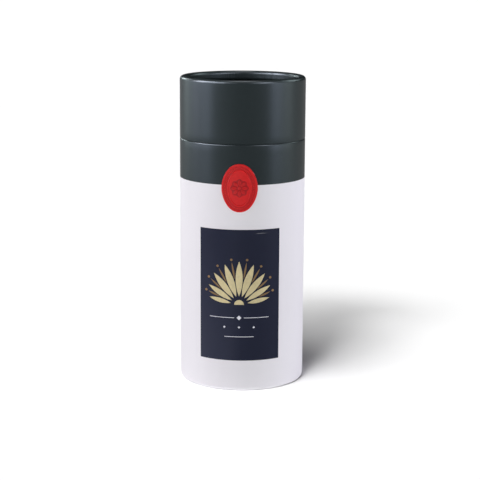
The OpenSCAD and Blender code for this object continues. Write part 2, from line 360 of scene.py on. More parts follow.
def wound_paper_tree():
    """Turns a closed section of paper, drawn as (radius, 0, height), round the tube's axis.

    Each point of the section says how far a pleat lifts it and how far the paper's own
    overlap at the back lets it down.
    """
    sheet, given = geometry_tree("Paper wound round the tube", [
        ("Steps round", "Int"), ("Pleats", "Float"), ("Pleat seed", "Float"),
        ("Pleat wander", "Float"), ("Overlap width", "Float"), ("Material", "Material"),
    ])
    section = sheet.add("GeometryNodeMeshToCurve", {"Mesh": given["Geometry"]})
    ring = sheet.add("GeometryNodeCurvePrimitiveCircle", {"Resolution": given["Steps round"]})
    turn = sheet.math("DIVIDE", sheet.add("GeometryNodeInputIndex"), given["Steps round"])
    ring = sheet.add(
        "GeometryNodeStoreNamedAttribute",
        {"Geometry": ring, "Name": "turn", "Value": turn},
        data_type="FLOAT", domain="POINT",
    )
    skin = sheet.add("GeometryNodeCurveToMesh", {"Curve": ring, "Profile Curve": section})

    turn = named(sheet, "turn")
    angle = sheet.times(turn, 2 * math.pi)
    sine = sheet.math("SINE", angle)
    cosine = sheet.math("COSINE", angle)
    drawn = named(sheet, "section", "FLOAT_VECTOR")
    radius, _, height = sheet.parts(drawn)

    reach = sheet.math("DIVIDE", given["Pleats"], 2 * math.pi)
    along = sheet.times(sheet.plus(radius, height), given["Pleat wander"])
    place = sheet.combine(
        sheet.math("MULTIPLY_ADD", cosine, reach, given["Pleat seed"]),
        sheet.times(sine, reach),
        along,
    )
    fold = sheet.math("ABSOLUTE", sheet.minus(sheet.noise(place, 1.0, 0.0), 0.5))
    fold = sheet.minus(1.0, sheet.smooth_step(fold, 0.0, 0.07))
    size = sheet.smooth_step(sheet.noise(place, 0.37, 0.0), 0.38, 0.62)
    fold = sheet.times(fold, size)

    width = sheet.math("DIVIDE", given["Overlap width"], 2 * math.pi * WRAP_R * MM)
    past = sheet.math("DIVIDE", sheet.minus(turn, 0.5), width)
    behind = sheet.math("GREATER_THAN", past, 0.0)
    drop = sheet.times(behind, sheet.math("SUBTRACT", 1.0, past, clamp=True))

    lifted = sheet.scaled(named(sheet, "pleat_lift", "FLOAT_VECTOR"), fold)
    dropped = sheet.scaled(named(sheet, "overlap_drop", "FLOAT_VECTOR"), drop)
    moved = sheet.vector("ADD", sheet.vector("ADD", drawn, lifted), dropped)
    radius, _, height = sheet.parts(moved)
    place = sheet.combine(
        sheet.times(radius, sine),
        sheet.times(radius, sheet.times(cosine, -1.0)),
        height,
    )
    skin = sheet.add("GeometryNodeSetPosition", {"Geometry": skin, "Position": place})
    for name in ("section", "pleat_lift", "overlap_drop", "turn"):
        skin = sheet.add("GeometryNodeRemoveAttribute", {"Geometry": skin, "Name": name})
    finish_tree(sheet, skin, given["Material"])
    return sheet.tree


def fan_tree():
    """Sets one flat figure on each ray of a fan, and lays the fan on the front of the tube.

    Lengths follow the fan: a ray's length runs from the outer one to the middle one by cosine.
    """
    sheet, given = geometry_tree("Figures on a fan", [
        ("Rays", "Int"), ("Fan angle", "Float"), ("Start", "Float"), ("Start share", "Float"),
        ("Outer length", "Float"), ("Middle length", "Float"), ("Length share", "Float"),
        ("Fixed length", "Float"), ("Width share", "Float"), ("Fixed width", "Float"),
        ("Root height", "Float"), ("Lay radius", "Float"), ("Material", "Material"),
    ])
    rays = sheet.add("GeometryNodeMeshLine", {"Count": given["Rays"]}, mode="OFFSET")
    index = sheet.add("GeometryNodeInputIndex")
    gaps = sheet.minus(given["Rays"], 1.0)
    step = sheet.math("DIVIDE", sheet.times(given["Fan angle"], 2.0), gaps)
    lean = sheet.math("MULTIPLY_ADD", index, step, sheet.times(given["Fan angle"], -1.0))
    more = sheet.minus(given["Middle length"], given["Outer length"])
    ray = sheet.math("MULTIPLY_ADD", sheet.math("COSINE", lean), more, given["Outer length"])
    start = sheet.math("MULTIPLY_ADD", ray, given["Start share"], given["Start"])
    place = sheet.combine(
        sheet.times(start, sheet.math("SINE", lean)),
        sheet.times(start, sheet.math("COSINE", lean)),
        0.0,
    )
    length = sheet.math("MULTIPLY_ADD", ray, given["Length share"], given["Fixed length"])
    width = sheet.math("MULTIPLY_ADD", ray, given["Width share"], given["Fixed width"])
    turned = sheet.combine(0.0, 0.0, sheet.minus(math.pi / 2, lean))
    points = sheet.add("GeometryNodeSetPosition", {"Geometry": rays, "Position": place})
    figures = sheet.add("GeometryNodeInstanceOnPoints", {
        "Points": points, "Instance": given["Geometry"], "Rotation": turned,
        "Scale": sheet.combine(length, width, 1.0),
    })
    flat = sheet.add("GeometryNodeRealizeInstances", {"Geometry": figures})
    flat = laid_on_front(sheet, flat, given["Lay radius"], given["Root height"])
    finish_tree(sheet, flat, given["Material"])
    return sheet.tree


def beads_tree():
    """Sets beads at even steps along a closed flat line, and lays them on the front of the tube."""
    sheet, given = geometry_tree("Beads along a line", [
        ("Beads", "Int"), ("Bead radius", "Float"), ("Bead height", "Float"),
        ("Middle height", "Float"), ("Lay radius", "Float"), ("Material", "Material"),
    ])
    line = sheet.add("GeometryNodeMeshToCurve", {"Mesh": given["Geometry"]})
    points = sheet.add("GeometryNodeResampleCurve", {"Curve": line, "Count": given["Beads"]})
    ball = sheet.add("GeometryNodeMeshUVSphere", {"Segments": 12, "Rings": 8, "Radius": 1.0})
    size = sheet.combine(given["Bead radius"], given["Bead radius"], given["Bead height"])
    beads = sheet.add("GeometryNodeInstanceOnPoints", {
        "Points": points, "Instance": ball, "Scale": size,
    })
    flat = sheet.add("GeometryNodeRealizeInstances", {"Geometry": beads})
    flat = laid_on_front(sheet, flat, given["Lay radius"], given["Middle height"])
    finish_tree(sheet, flat, given["Material"])
    return sheet.tree


# Finishes

def finish_sheet(name, roughness, specular, tint=None):
    """A material with its shader, and the sheet and object coordinates to draw on it with."""
    material = bpy.data.materials.new(name)
    material.use_nodes = True
    sheet = Sheet(material.node_tree)
    shader = material.node_tree.nodes["Principled BSDF"]
    shader.inputs["Roughness"].default_value = roughness
    shader.inputs["Specular IOR Level"].default_value = specular
    if tint:
        shader.inputs["Specular Tint"].default_value = (*tint, 1.0)
    place = sheet.add("ShaderNodeTexCoord", output=3)
    return material, sheet, shader, place


def mixed(sheet, factor, first, second):
    """Two colours, each a tuple or a socket, mixed by a factor."""
    node = sheet.tree.nodes.new("ShaderNodeMix")
    node.data_type = "RGBA"
    for index, value in ((0, factor), (6, first), (7, second)):
        if isinstance(value, bpy.types.NodeSocket):
            sheet.tree.links.new(value, node.inputs[index])
        else:
            node.inputs[index].default_value = value if index == 0 else (*value, 1.0)
    return node.outputs[2]


def bumped(sheet, shader, heights):
    """Stacks bumps on the shader: each is (height socket, strength, depth in metres)."""
    normal = None
    for height, strength, depth in heights:
        inputs = {"Height": height, "Strength": strength, "Distance": depth}
        if normal is not None:
            inputs["Normal"] = normal
        normal = sheet.add("ShaderNodeBump", inputs)
    sheet.into(shader, "Normal", normal)


def shaded(colour, factor):
    return tuple(channel * factor for channel in colour)


def laminated_paper(name, colour, roughness, specular, uneven, tint=None, core=(0.6, 0.58, 0.54)):
    """Covering paper: printed and laminated, mottled a little, with a bare core at cut edges."""
    material, sheet, shader, place = finish_sheet(name, roughness, specular, tint)
    mottle = sheet.noise(place, 160.0, 4.0, 0.6)
    cloud = sheet.noise(place, 22.0, 2.0)
    tone = sheet.spread(sheet.plus(mottle, cloud), 0.6, 1.4, 0.0, 1.0)
    base = mixed(sheet, tone, shaded(colour, 1 - uneven), shaded(colour, 1 + uneven))
    bare = sheet.add("ShaderNodeAttribute", {}, 2, attribute_name="bare")
    base = mixed(sheet, bare, base, core)
    sheet.into(shader, "Base Color", base)
    grain = sheet.noise(place, 1500.0, 2.0, 0.6)
    worn = sheet.spread(grain, 0.3, 0.7, roughness - 0.04, roughness + 0.04)
    sheet.into(shader, "Roughness", worn)
    wave = sheet.noise(place, 130.0, 1.0)
    bumped(sheet, shader, [(grain, 0.10, 0.00006), (wave, 0.08, 0.0002)])
    return material


def bare_paper(name, colour):
    """Lining paper: uncoated, with fibres and the helical edge of its winding."""
    material, sheet, shader, place = finish_sheet(name, 0.8, 0.25)
    stretched = sheet.vector("MULTIPLY", place, (1.0, 1.0, 2.6))
    fibre = sheet.noise(stretched, 900.0, 4.0, 0.65)
    cloud = sheet.noise(place, 60.0, 3.0)
    tone = sheet.spread(sheet.plus(fibre, cloud), 0.7, 1.3, 0.0, 1.0)
    base = mixed(sheet, tone, shaded(colour, 0.9), shaded(colour, 1.04))
    x, y, z = sheet.parts(place)
    around = sheet.math("DIVIDE", sheet.math("ARCTAN2", y, x), 2 * math.pi)
    helix = sheet.math("FRACT", sheet.plus(sheet.math("DIVIDE", z, WINDING_PITCH), around))
    edge = sheet.smooth_step(helix, 0.0, 0.012)
    base = mixed(sheet, edge, shaded(colour, 0.72), base)
    sheet.into(shader, "Base Color", base)
    bumped(sheet, shader, [(fibre, 0.35, 0.0001), (edge, 0.6, 0.0001)])
    return material


def greyboard(name, colour):
    """Wound board: recycled pulp with flecks and fibres."""
    material, sheet, shader, place = finish_sheet(name, 0.9, 0.2)
    layered = sheet.vector("MULTIPLY", place, (1.0, 1.0, 5.0))
    fibre = sheet.noise(layered, 500.0, 5.0, 0.7)
    fleck = sheet.add("ShaderNodeTexVoronoi", {"Vector": place, "Scale": 900.0})
    base = mixed(
        sheet, sheet.spread(fibre, 0.35, 0.65, 0.0, 1.0), shaded(colour, 0.8), shaded(colour, 1.1)
    )
    base = mixed(sheet, sheet.smooth_step(fleck, 0.12, 0.2), shaded(colour, 0.45), base)
    sheet.into(shader, "Base Color", base)
    bumped(sheet, shader, [(fibre, 0.5, 0.0002)])
    return material


def stamped_foil(name, colour, metallic, roughness):
    """Stamped foil: satin metal, brushed by the press and worn a little unevenly."""
    material, sheet, shader, place = finish_sheet(name, roughness, 0.5)
    shader.inputs["Metallic"].default_value = metallic
    cloud = sheet.noise(place, 260.0, 3.0, 0.6)
    speck = sheet.noise(place, 2400.0, 1.0)
    tone = sheet.spread(sheet.plus(cloud, speck), 0.7, 1.3, 0.0, 1.0)
    base = mixed(sheet, tone, shaded(colour, 0.86), shaded(colour, 1.08))
    sheet.into(shader, "Base Color", base)
    worn = sheet.spread(cloud, 0.3, 0.7, roughness - 0.06, roughness + 0.06)
    sheet.into(shader, "Roughness", worn)
    bumped(sheet, shader, [(speck, 0.2, 0.00004)])
    return material


def seal_finish(name, colour, ink):
    """Embossed seal: red coated board, inked darker in the sunk work."""
    material, sheet, shader, place = finish_sheet(name, 0.38, 0.22)
    mottle = sheet.noise(place, 420.0, 3.0, 0.6)
    base = mixed(
        sheet, sheet.spread(mottle, 0.3, 0.7, 0.0, 1.0), shaded(colour, 0.92), shaded(colour, 1.06)
    )
    inked = sheet.add("ShaderNodeAttribute", {}, 2, attribute_name="ink")
    base = mixed(sheet, inked, base, ink)
    sheet.into(shader, "Base Color", base)
    grain = sheet.noise(place, 1300.0, 2.0)
    bumped(sheet, shader, [(grain, 0.12, 0.00008)])
    return material


DARK_PAPER = laminated_paper(
    "dark_paper", (0.008, 0.0118, 0.0115), 0.33, 0.5, 0.06, tint=(0.75, 0.93, 1.0)
)
WHITE_PAPER = laminated_paper(
    "white_paper", (0.80, 0.79, 0.83), 0.5, 0.4, 0.008, core=(0.75, 0.74, 0.72)
)
NAVY_LABEL = laminated_paper(
    "navy_label", (0.014, 0.0175, 0.038), 0.40, 0.11, 0.04, core=(0.5, 0.5, 0.5)
)
LINING_PAPER = bare_paper("lining_paper", (0.82, 0.79, 0.72))
GREYBOARD = greyboard("greyboard", (0.5, 0.44, 0.35))
GOLD_FOIL = stamped_foil("gold_foil", (0.76, 0.66, 0.38), 0.3, 0.45)
BRONZE_FOIL = stamped_foil("bronze_foil", (0.30, 0.19, 0.09), 0.5, 0.45)
PALE_FOIL = stamped_foil("pale_foil", (0.86, 0.88, 0.96), 0.15, 0.4)
RED_SEAL = seal_finish("red_seal", (0.66, 0.011, 0.013), (0.35, 0.008, 0.012))


# Meshes

def new_object(name, mesh):
    thing = bpy.data.objects.new(name, mesh)
    bpy.context.scene.collection.objects.link(thing)
    return thing


def closed_and_outward(mesh):
    """Merges doubled points and turns all faces outwards."""
    work = bmesh.new()
    work.from_mesh(mesh)
    bmesh.ops.remove_doubles(work, verts=work.verts, dist=1e-7)
    bmesh.ops.recalc_face_normals(work, faces=work.faces)
    work.to_mesh(mesh)
    work.free()


def smooth(mesh, degrees=38.0):
    mesh.shade_smooth()
    mesh.set_sharp_from_angle(angle=math.radians(degrees))


def grown(name, start_mesh, tree, **inputs):
    """The plain mesh that a geometry tree makes of a starting mesh, as a new object."""
    seed = new_object(name + "_start", start_mesh)
    modifier = seed.modifiers.new("grow", "NODES")
    modifier.node_group = tree
    identifiers = {
        item.name: item.identifier
        for item in tree.interface.items_tree if item.in_out == "INPUT"
    }
    for label, value in inputs.items():
        modifier[identifiers[label.replace("_", " ")]] = value
    bpy.context.view_layer.update()
    evaluated = seed.evaluated_get(bpy.context.evaluated_depsgraph_get())
    mesh = bpy.data.meshes.new_from_object(evaluated)
    mesh.name = name
    seed.modifiers.remove(modifier)
    bpy.data.objects.remove(seed)
    closed_and_outward(mesh)
    smooth(mesh)
    return new_object(name, mesh)


def stands_for(piece, node, body):
    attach(piece, body)
    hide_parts(node)
    return piece


# Wound papers

def arc(middle, radius, start, end, steps):
    """Points of an arc in the section plane, at angles in degrees from the outward radius."""
    points = []
    for step in range(steps + 1):
        angle = math.radians(start + (end - start) * step / steps)
        points.append((middle[0] + radius * math.cos(angle), middle[1] + radius * math.sin(angle)))
    return points


def run(start, end, steps):
    """Points of a straight run, without its end."""
    return [
        tuple(a + (b - a) * step / steps for a, b in zip(start, end)) for step in range(steps)
    ]


def section_mesh(name, outer, inner, lift, drop):
    """A closed section: the outer face from end to end, then the inner face back.

    lift and drop give, for a point of the outer face, how far a pleat or the overlap moves it.
    """
    start = (Vector(outer[1]) - Vector(outer[0])).normalized() * CUT_EDGE
    end = (Vector(outer[-2]) - Vector(outer[-1])).normalized() * CUT_EDGE
    points = [(*outer[0], 1.0, True), (*(Vector(outer[0]) + start), 0.0, True)]
    points += [(*point, 0.0, True) for point in outer[1:-1]]
    points += [(*(Vector(outer[-1]) + end), 0.0, True), (*outer[-1], 1.0, True)]
    points += [(*inner[0], 1.0, False), (*(Vector(inner[0]) + end), 0.0, False)]
    points += [(*point, 0.0, False) for point in inner[1:-1]]
    points += [(*(Vector(inner[-1]) + start), 0.0, False), (*inner[-1], 1.0, False)]
    mesh = bpy.data.meshes.new(name)
    spots = [(r * MM, 0.0, z * MM) for r, z, _, _ in points]
    count = len(points)
    mesh.from_pydata(spots, [(i, (i + 1) % count) for i in range(count)], [])
    values = {"section": spots, "pleat_lift": [], "overlap_drop": []}
    for r, z, _, outside in points:
        for key, rule in (("pleat_lift", lift), ("overlap_drop", drop)):
            move = rule(r, z) if outside else (0.0, 0.0)
            values[key].append((move[0] * MM, 0.0, move[1] * MM))
    for key, vectors in values.items():
        attribute = mesh.attributes.new(key, "FLOAT_VECTOR", "POINT")
        attribute.data.foreach_set("vector", [part for vector in vectors for part in vector])
    bare = mesh.attributes.new("bare", "FLOAT", "POINT")
    bare.data.foreach_set("value", [point[2] for point in points])
    return mesh


def eased(value, low, high):
    share = min(max((value - low) / (high - low), 0.0), 1.0)
    return share * share * (3 - 2 * share)


def roll_lift(roll_z, up, straight):
    """Pleats gather on the inner side of a rolled edge, where the paper has to shrink."""
    def rule(r, z):
        below = min(max((roll_z - z) * up, 0.0), straight)
        out = Vector((r - ROLL_PATH_R, (z - roll_z) * up + below))
        if out.length > ROLL_R + 0.05 or out.length < 0.1:
            return (0.0, 0.0)
        angle = math.degrees(math.atan2(out.y, out.x)) % 360
        amount = PLEAT * eased(angle, 95, 165) * eased(z, 0.05, 0.5)
        return (out.x / out.length * amount, out.y / out.length * amount * up)
    return rule


def mouth_lift(bore_r, mouth_z, up):
    """Small pleats where the paper is turned in past a mouth."""
    def rule(r, z):
        if abs(r - bore_r) > 0.05:
            return (0.0, 0.0)
        return (-MOUTH_PLEAT_SHARE * PLEAT * eased((z - mouth_z) * up, 2.0, TURN_IN), 0.0)
    return rule


def both(first, second):
    return lambda r, z: tuple(a + b for a, b in zip(first(r, z), second(r, z)))


def overlap_drop(outer_r):
    """The wrap's end lies on its own start along one line at the back."""
    return lambda r, z: (-OVERLAP_DROP, 0.0) if abs(r - outer_r) < 0.01 else (0.0, 0.0)


def mouth_face(outer_r, bore_r, mouth_z, up, corner, offset):
    """The face of a paper turned over a mouth, from its turned-in edge to the outside wall.

    up is 1 for a tube above the mouth and -1 for one below it; offset is the paper's
    thickness for its inner face and 0 for its outer one.
    """
    radius = corner - offset
    low = mouth_z + up * corner
    points = run((bore_r + offset, mouth_z + up * TURN_IN), (bore_r + offset, low), 5)
    turns = [((bore_r + corner, low), 180, 270), ((outer_r - corner, low), 270, 360)]
    for middle, start, end in turns:
        points += arc(middle, radius, start * up, end * up, 5)
    return points


def roll_face(roll_z, up, straight, offset, steps):
    """The face of a paper that goes three quarters round a rolled edge."""
    radius = ROLL_R - offset
    low = roll_z - up * straight
    points = arc((ROLL_PATH_R, roll_z), radius, 0, 180 * up, steps)
    if straight:
        points += run(points[-1], (ROLL_PATH_R - radius, low), 4)[1:]
        points.append((ROLL_PATH_R - radius, low))
    return points + arc((ROLL_PATH_R, low), radius, 180 * up, 270 * up, steps // 2)[1:]


def wound_paper(name, faces, outer_r, lift, material, seed):
    """A paper between its outer and its inner face, wound round the tube."""
    section = section_mesh(name + "_section", faces[0], faces[1][::-1], lift, overlap_drop(outer_r))
    return grown(
        name, section, WOUND_PAPER, Steps_round=STEPS_ROUND, Pleats=PLEATS_ROUND,
        Pleat_seed=seed, Pleat_wander=PLEAT_WANDER, Overlap_width=OVERLAP_W * MM,
        Material=material,
    )


WOUND_PAPER = wound_paper_tree()


def wall_to(face, end_z, steps):
    """Goes on from the end of a face straight along the wall to a height."""
    r, z = face[-1]
    return face[:-1] + run((r, z), (r, end_z), steps)


def flattened(points, low):
    return [(r, max(z, low)) for r, z in points]


def make_lid_wrap():
    faces = []
    for offset, steps, turns in ((0.0, 8, 32), (PAPER, 3, 12)):
        face = mouth_face(WRAP_R, BORE_R, SEAM_Z, 1, LID_MOUTH_R, offset)
        face = wall_to(face, LID_ROLL_Z, steps)
        face += roll_face(LID_ROLL_Z, 1, LID_ROLL_STRAIGHT, offset, turns)
        faces.append(face)
    lift = both(roll_lift(LID_ROLL_Z, 1, LID_ROLL_STRAIGHT), mouth_lift(BORE_R, SEAM_Z, 1))
    piece = wound_paper("lid_paper", faces, WRAP_R, lift, DARK_PAPER, 3.0)
    return stands_for(piece, "lid_wrap", "lid")


def hanging_faces(outer_r, bore_r, mouth_z, corner, end_z, steps):
    """Both faces of a paper turned in over a mouth, which hangs down outside to a height."""
    faces = []
    for offset, count in zip((0.0, PAPER), steps):
        face = mouth_face(outer_r, bore_r, mouth_z, -1, corner, offset)
        faces.append(wall_to(face, end_z, count) + [(outer_r - offset, end_z)])
    return faces


def make_collar():
    faces = hanging_faces(WRAP_R, BORE_R, SEAM_Z, COLLAR_MOUTH_R, BAND_Z, (6, 3))
    lift = mouth_lift(BORE_R, SEAM_Z, -1)
    piece = wound_paper("collar_paper", faces, WRAP_R, lift, DARK_PAPER, 11.0)
    return stands_for(piece, "collar_band", "base")


def make_base_wrap():
    faces = []
    for offset, steps, turns in ((0.0, 14, 30), (PAPER, 5, 12)):
        r = WRAP_R - offset
        face = run((r, BAND_Z), (r, FOOT_ROLL_Z), steps)
        face += roll_face(FOOT_ROLL_Z, -1, 0.0, offset, turns)
        faces.append(flattened(face, max(offset - FOOT_FLAT, 0.0)))
    lift = roll_lift(FOOT_ROLL_Z, -1, 0.0)
    piece = wound_paper("base_paper", faces, WRAP_R, lift, WHITE_PAPER, 23.0)
    return stands_for(piece, "base_wrap", "base")


def make_neck_cover():
    faces = hanging_faces(NECK_R, NECK_BORE_R, NECK_TOP, NECK_RIM_R, NECK_FOOT, (12, 6))
    lift = mouth_lift(NECK_BORE_R, NECK_TOP, -1)
    piece = wound_paper("neck_paper", faces, NECK_R, lift, DARK_PAPER, 37.0)
    return stands_for(piece, "neck_cover", "base")


# Front label

def thin_shell(name, front, back, columns, rows):
    """A closed thin shell from two grids of points, each row after row, with columns across."""
    count = columns * rows
    faces = []
    for row in range(rows - 1):
        for column in range(columns - 1):
            a = row * columns + column
            square = (a, a + 1, a + columns + 1, a + columns)
            faces.append(square)
            faces.append(tuple(count + i for i in reversed(square)))
    rim = [(row * columns, (row + 1) * columns) for row in range(rows - 1)]
    rim += [((row + 1) * columns - 1, (row + 2) * columns - 1) for row in range(rows - 1)]
    rim += [(column, column + 1) for column in range(columns - 1)]
    last = count - columns
    rim += [(last + column, last + column + 1) for column in range(columns - 1)]
    faces += [(a, b, b + count, a + count) for a, b in rim]
    mesh = bpy.data.meshes.new(name)
    mesh.from_pydata(front + back, [], faces)
    closed_and_outward(mesh)
    return mesh


def crease(across, height):
    """Lift of the label's face, where the paper has buckled near its upper right corner."""
    middle = CREASE_Z + CREASE_SLOPE * (across - CREASE_MIDDLE)
    ridge = math.exp(-((height - middle) / CREASE_HALF_W) ** 2)
    return CREASE_LIFT * ridge * eased(across, *CREASE_START) * (1 - eased(across, *CREASE_END))


def make_label():
    side = LABEL_W / 2
    inner = side - LABEL_INSET
    columns = [-side, -side + LABEL_EDGE]
    columns += [-inner + 2 * inner * i / LABEL_COLUMNS for i in range(LABEL_COLUMNS + 1)]
    columns += [side - LABEL_EDGE, side]
    first = LABEL_LOW + LABEL_END_ROW
    buckled = CREASE_Z - CREASE_REACH
    rows = [LABEL_LOW, LABEL_LOW + LABEL_EDGE]
    rows += [first + LABEL_ROW_STEP * i for i in range(round((buckled - first) / LABEL_ROW_STEP))]
    fine_rows = round(2 * CREASE_REACH / CREASE_ROW_STEP) + 1
    rows += [buckled + CREASE_ROW_STEP * i for i in range(fine_rows)]
    rows += [LABEL_HIGH - LABEL_END_ROW, LABEL_HIGH - LABEL_EDGE, LABEL_HIGH]
    front, back = [], []
    for z in rows:
        for across in columns:
            angle = across / LABEL_R
            border = across in (columns[0], columns[-1]) or z in (rows[0], rows[-1])
            lift = crease(across, z)
            outer = LABEL_R + LABEL_THICK - (LABEL_EDGE_DROP if border else 0.0) + lift
            for points, r in ((front, outer), (back, LABEL_R + 0.9 * lift)):
                points.append((r * math.sin(angle) * MM, -r * math.cos(angle) * MM, z * MM))
    mesh = thin_shell("label_paper", front, back, len(columns), len(rows))
    smooth(mesh, 50.0)
    mesh.materials.append(NAVY_LABEL)
    piece = new_object("label_paper", mesh)
    return stands_for(piece, "front_label", "base")


# Foil ornament

def pillow(name, places, groove=0.0):
    """A flat foil figure with a bevelled edge, and a groove or a crown along its middle.

    places gives, from end to end, the x and y of its middle line and half its width there.
    """
    shares = (-1.0, -0.86, -0.45, -0.08, 0.0, 0.08, 0.45, 0.86, 1.0)
    front, back = [], []
    for x, y, half in places:
        for share in shares:
            depth = FOIL_THICK * MM * (FOIL_EDGE if abs(share) == 1.0 else 1.0)
            if share == 0.0:
                depth -= groove * MM
            front.append((x, y + half * share, depth))
            back.append((x, y + half * share, 0.0))
    return thin_shell(name, front, back, len(shares), len(places))


def leaf_mesh():
    """A pointed leaf of length 1 and width 1, its stalk at the origin, along +X."""
    along = [step / 24 for step in range(25)]
    return pillow("leaf", [(u, 0.0, max(2 * u * (1 - u), 0.004)) for u in along], LEAF_GROOVE)


def half_turn(steps):
    return [math.pi * step / steps for step in range(steps + 1)]


def disc_mesh():
    """A round dot of diameter 1, its edge at the origin, along +X."""
    return pillow("berry", [
        ((1 - math.cos(angle)) / 2, 0.0, max(math.sin(angle) / 2, 0.01)) for angle in half_turn(14)
    ])


def lay_flat(mesh, radius, height):
    """Lays a flat mesh, drawn as it is seen from the front, on the tube's front."""
    for vertex in mesh.vertices:
        x, y, depth = vertex.co
        r = radius * MM + depth
        vertex.co = (x, -math.sqrt(r * r - x * x), y + height * MM)


def strip(name, left, right, y, half):
    """A straight rule from left to right."""
    steps = max(4, round((right - left) / 1.2))
    along = [left + (right - left) * step / steps for step in range(steps + 1)]
    return pillow(name, [(x * MM, y * MM, half * MM) for x in along])


def diamond(name, x, y, half):
    reaches = [-1 + step / 4 for step in range(9)]
    return pillow(name, [
        ((x + half * u) * MM, y * MM, max(half * (1 - abs(u)), 0.03) * MM) for u in reaches
    ], -DIAMOND_CROWN)


def half_disc(name, radius):
    places = []
    for angle in half_turn(16):
        half = max(math.sin(angle) * radius, 0.05) * MM / 2
        places.append((-math.cos(angle) * radius * MM, half, half))
    return pillow(name, places)


def join_as(name, things, material):
    """One object from several meshes or objects."""
    work = bmesh.new()
    for thing in things:
        work.from_mesh(thing.data if isinstance(thing, bpy.types.Object) else thing)
    mesh = bpy.data.meshes.new(name)
    work.to_mesh(mesh)
    work.free()
    for thing in things:
        if isinstance(thing, bpy.types.Object):
            bpy.data.objects.remove(thing)
    mesh.materials.clear()
    mesh.materials.append(material)
    for face in mesh.polygons:
        face.material_index = 0
    smooth(mesh, 30.0)
    return new_object(name, mesh)


FAN = fan_tree()


def fan_of(name, figure, rays, angle, material, **given):
    lengths = {"Start": FAN_START, "Outer_length": SHORT_LEAF, "Middle_length": LONG_LEAF, **given}
    for key in lengths:
        lengths[key] *= 1.0 if key.endswith("share") else MM
    return grown(
        name, figure, FAN, Rays=rays, Fan_angle=angle, Root_height=PALMETTE_Z * MM,
        Lay_radius=FOIL_R * MM, Material=material, **lengths,
    )


def make_gold():
    leaves = fan_of(
        "gold_leaves", leaf_mesh(), GOLD_LEAVES, FAN_ANGLE, GOLD_FOIL,
        Length_share=1.0, Width_share=LEAF_SLIM,
    )
    root = half_disc("root", ROOT_R)
    lay_flat(root, FOIL_R, PALMETTE_Z)
    piece = join_as("gold_palmette", [leaves, root], GOLD_FOIL)
    return stands_for(piece, "gold_foil", "base")


def make_bronze():
    between = FAN_ANGLE * (GOLD_LEAVES - 2) / (GOLD_LEAVES - 1)
    leaves = fan_of(
        "bronze_leaves", leaf_mesh(), GOLD_LEAVES - 1, between, BRONZE_FOIL,
        Start_share=0.5, Length_share=0.5, Fixed_width=BRONZE_LEAF_W,
    )
    berries = fan_of(
        "berries", disc_mesh(), GOLD_LEAVES - 1, between, BRONZE_FOIL,
        Start=FAN_START + BERRY_R, Start_share=1.0, Fixed_length=2 * BERRY_R,
        Fixed_width=2 * BERRY_R,
    )
    piece = join_as("bronze_sprigs", [leaves, berries], BRONZE_FOIL)
    return stands_for(piece, "bronze_foil", "base")


def make_pale():
    inner = DIAMOND_R * 2
    outer = RULE_W / 2
    figures = [
        strip("rule", left, right, 0.0, RULE_HALF_T)
        for left, right in ((-outer, -inner), (inner, outer))
    ]
    figures.append(diamond("middle_diamond", 0.0, 0.0, DIAMOND_R))
    figures += [
        diamond("small_diamond", side * RULE_W / 4, -RULE_STEP, DIAMOND_R / 2)
        for side in (-1, 0, 1)
    ]
    figures.append(strip("low_rule", -RULE_W / 4, RULE_W / 4, -2 * RULE_STEP, RULE_HALF_T))
    for figure in figures:
        lay_flat(figure, FOIL_R, RULE_Z)
    piece = join_as("pale_rules", figures, PALE_FOIL)
    return stands_for(piece, "pale_foil", "base")


# Oval seal

def oval_line(inset, steps):
    """Points of the seal's outline, set in by a distance: two end arcs and two side arcs."""
    swing = math.atan2(END_UP, SIDE_OFF)
    points = []
    for step in range(steps):
        angle = 2 * math.pi * step / steps
        tilt = abs(math.remainder(angle, math.pi))
        if tilt < swing:
            side = 1 if math.cos(angle) > 0 else -1
            r = SIDE_R - inset
            middle = (-side * SIDE_OFF, 0.0)
        else:
            side = 1 if math.sin(angle) > 0 else -1
            r = END_R - inset
            middle = (0.0, side * END_UP)
        points.append((middle[0] + r * math.cos(angle), middle[1] + r * math.sin(angle)))
    return points


def petal_height(x, y):
    """Height and ink of the rosette at a point: pale petals on an inked, scalloped roundel."""
    distance = math.hypot(x, y)
    turn = 2 * math.pi / PETALS
    angle = math.remainder(math.atan2(x, y), turn)
    along = distance * math.cos(angle)
    off = abs(distance * math.sin(angle))
    share = (along - ROSETTE_R) / (PETAL_L - ROSETTE_R)
    height = 0.0
    if 0 < share < 1:
        half = PETAL_W / 2 * 4 * share * (1 - share)
        inside = eased(half - off, 0.0, 0.38)
        rib = 1 - eased(off, 0.0, 0.22)
        height = inside * (1 - 0.45 * rib)
    boss = eased(ROSETTE_R - distance, 0.0, 0.45)
    edge = ROUNDEL_R * (1 + SCALLOP * math.cos(PETALS * angle))
    field = 1 - eased(distance, edge - 0.35, edge)
    return max(height, boss), field * (1 - 0.6 * max(eased(height, 0.05, 0.5), boss))


def seal_height(inset, x, y):
    """Height above the field and ink of the seal at a point."""
    rim = eased(inset, -0.05, 0.25) * (1 - eased(inset, SEAL_RIM_W - 0.1, SEAL_RIM_W + 0.25))
    ring_mid = SEAL_RING_IN + SEAL_RING_W / 2
    ring = 1 - eased(abs(inset - ring_mid), SEAL_RING_W / 2 - 0.15, SEAL_RING_W / 2 + 0.15)
    petal, ink = petal_height(x, y)
    channel = eased(inset, SEAL_RIM_W, SEAL_RIM_W + 0.5)
    channel *= 1 - eased(inset, SEAL_RING_IN - 0.4, SEAL_RING_IN)
    return max(rim, ring, petal), max(0.85 * ink, 0.45 * channel)


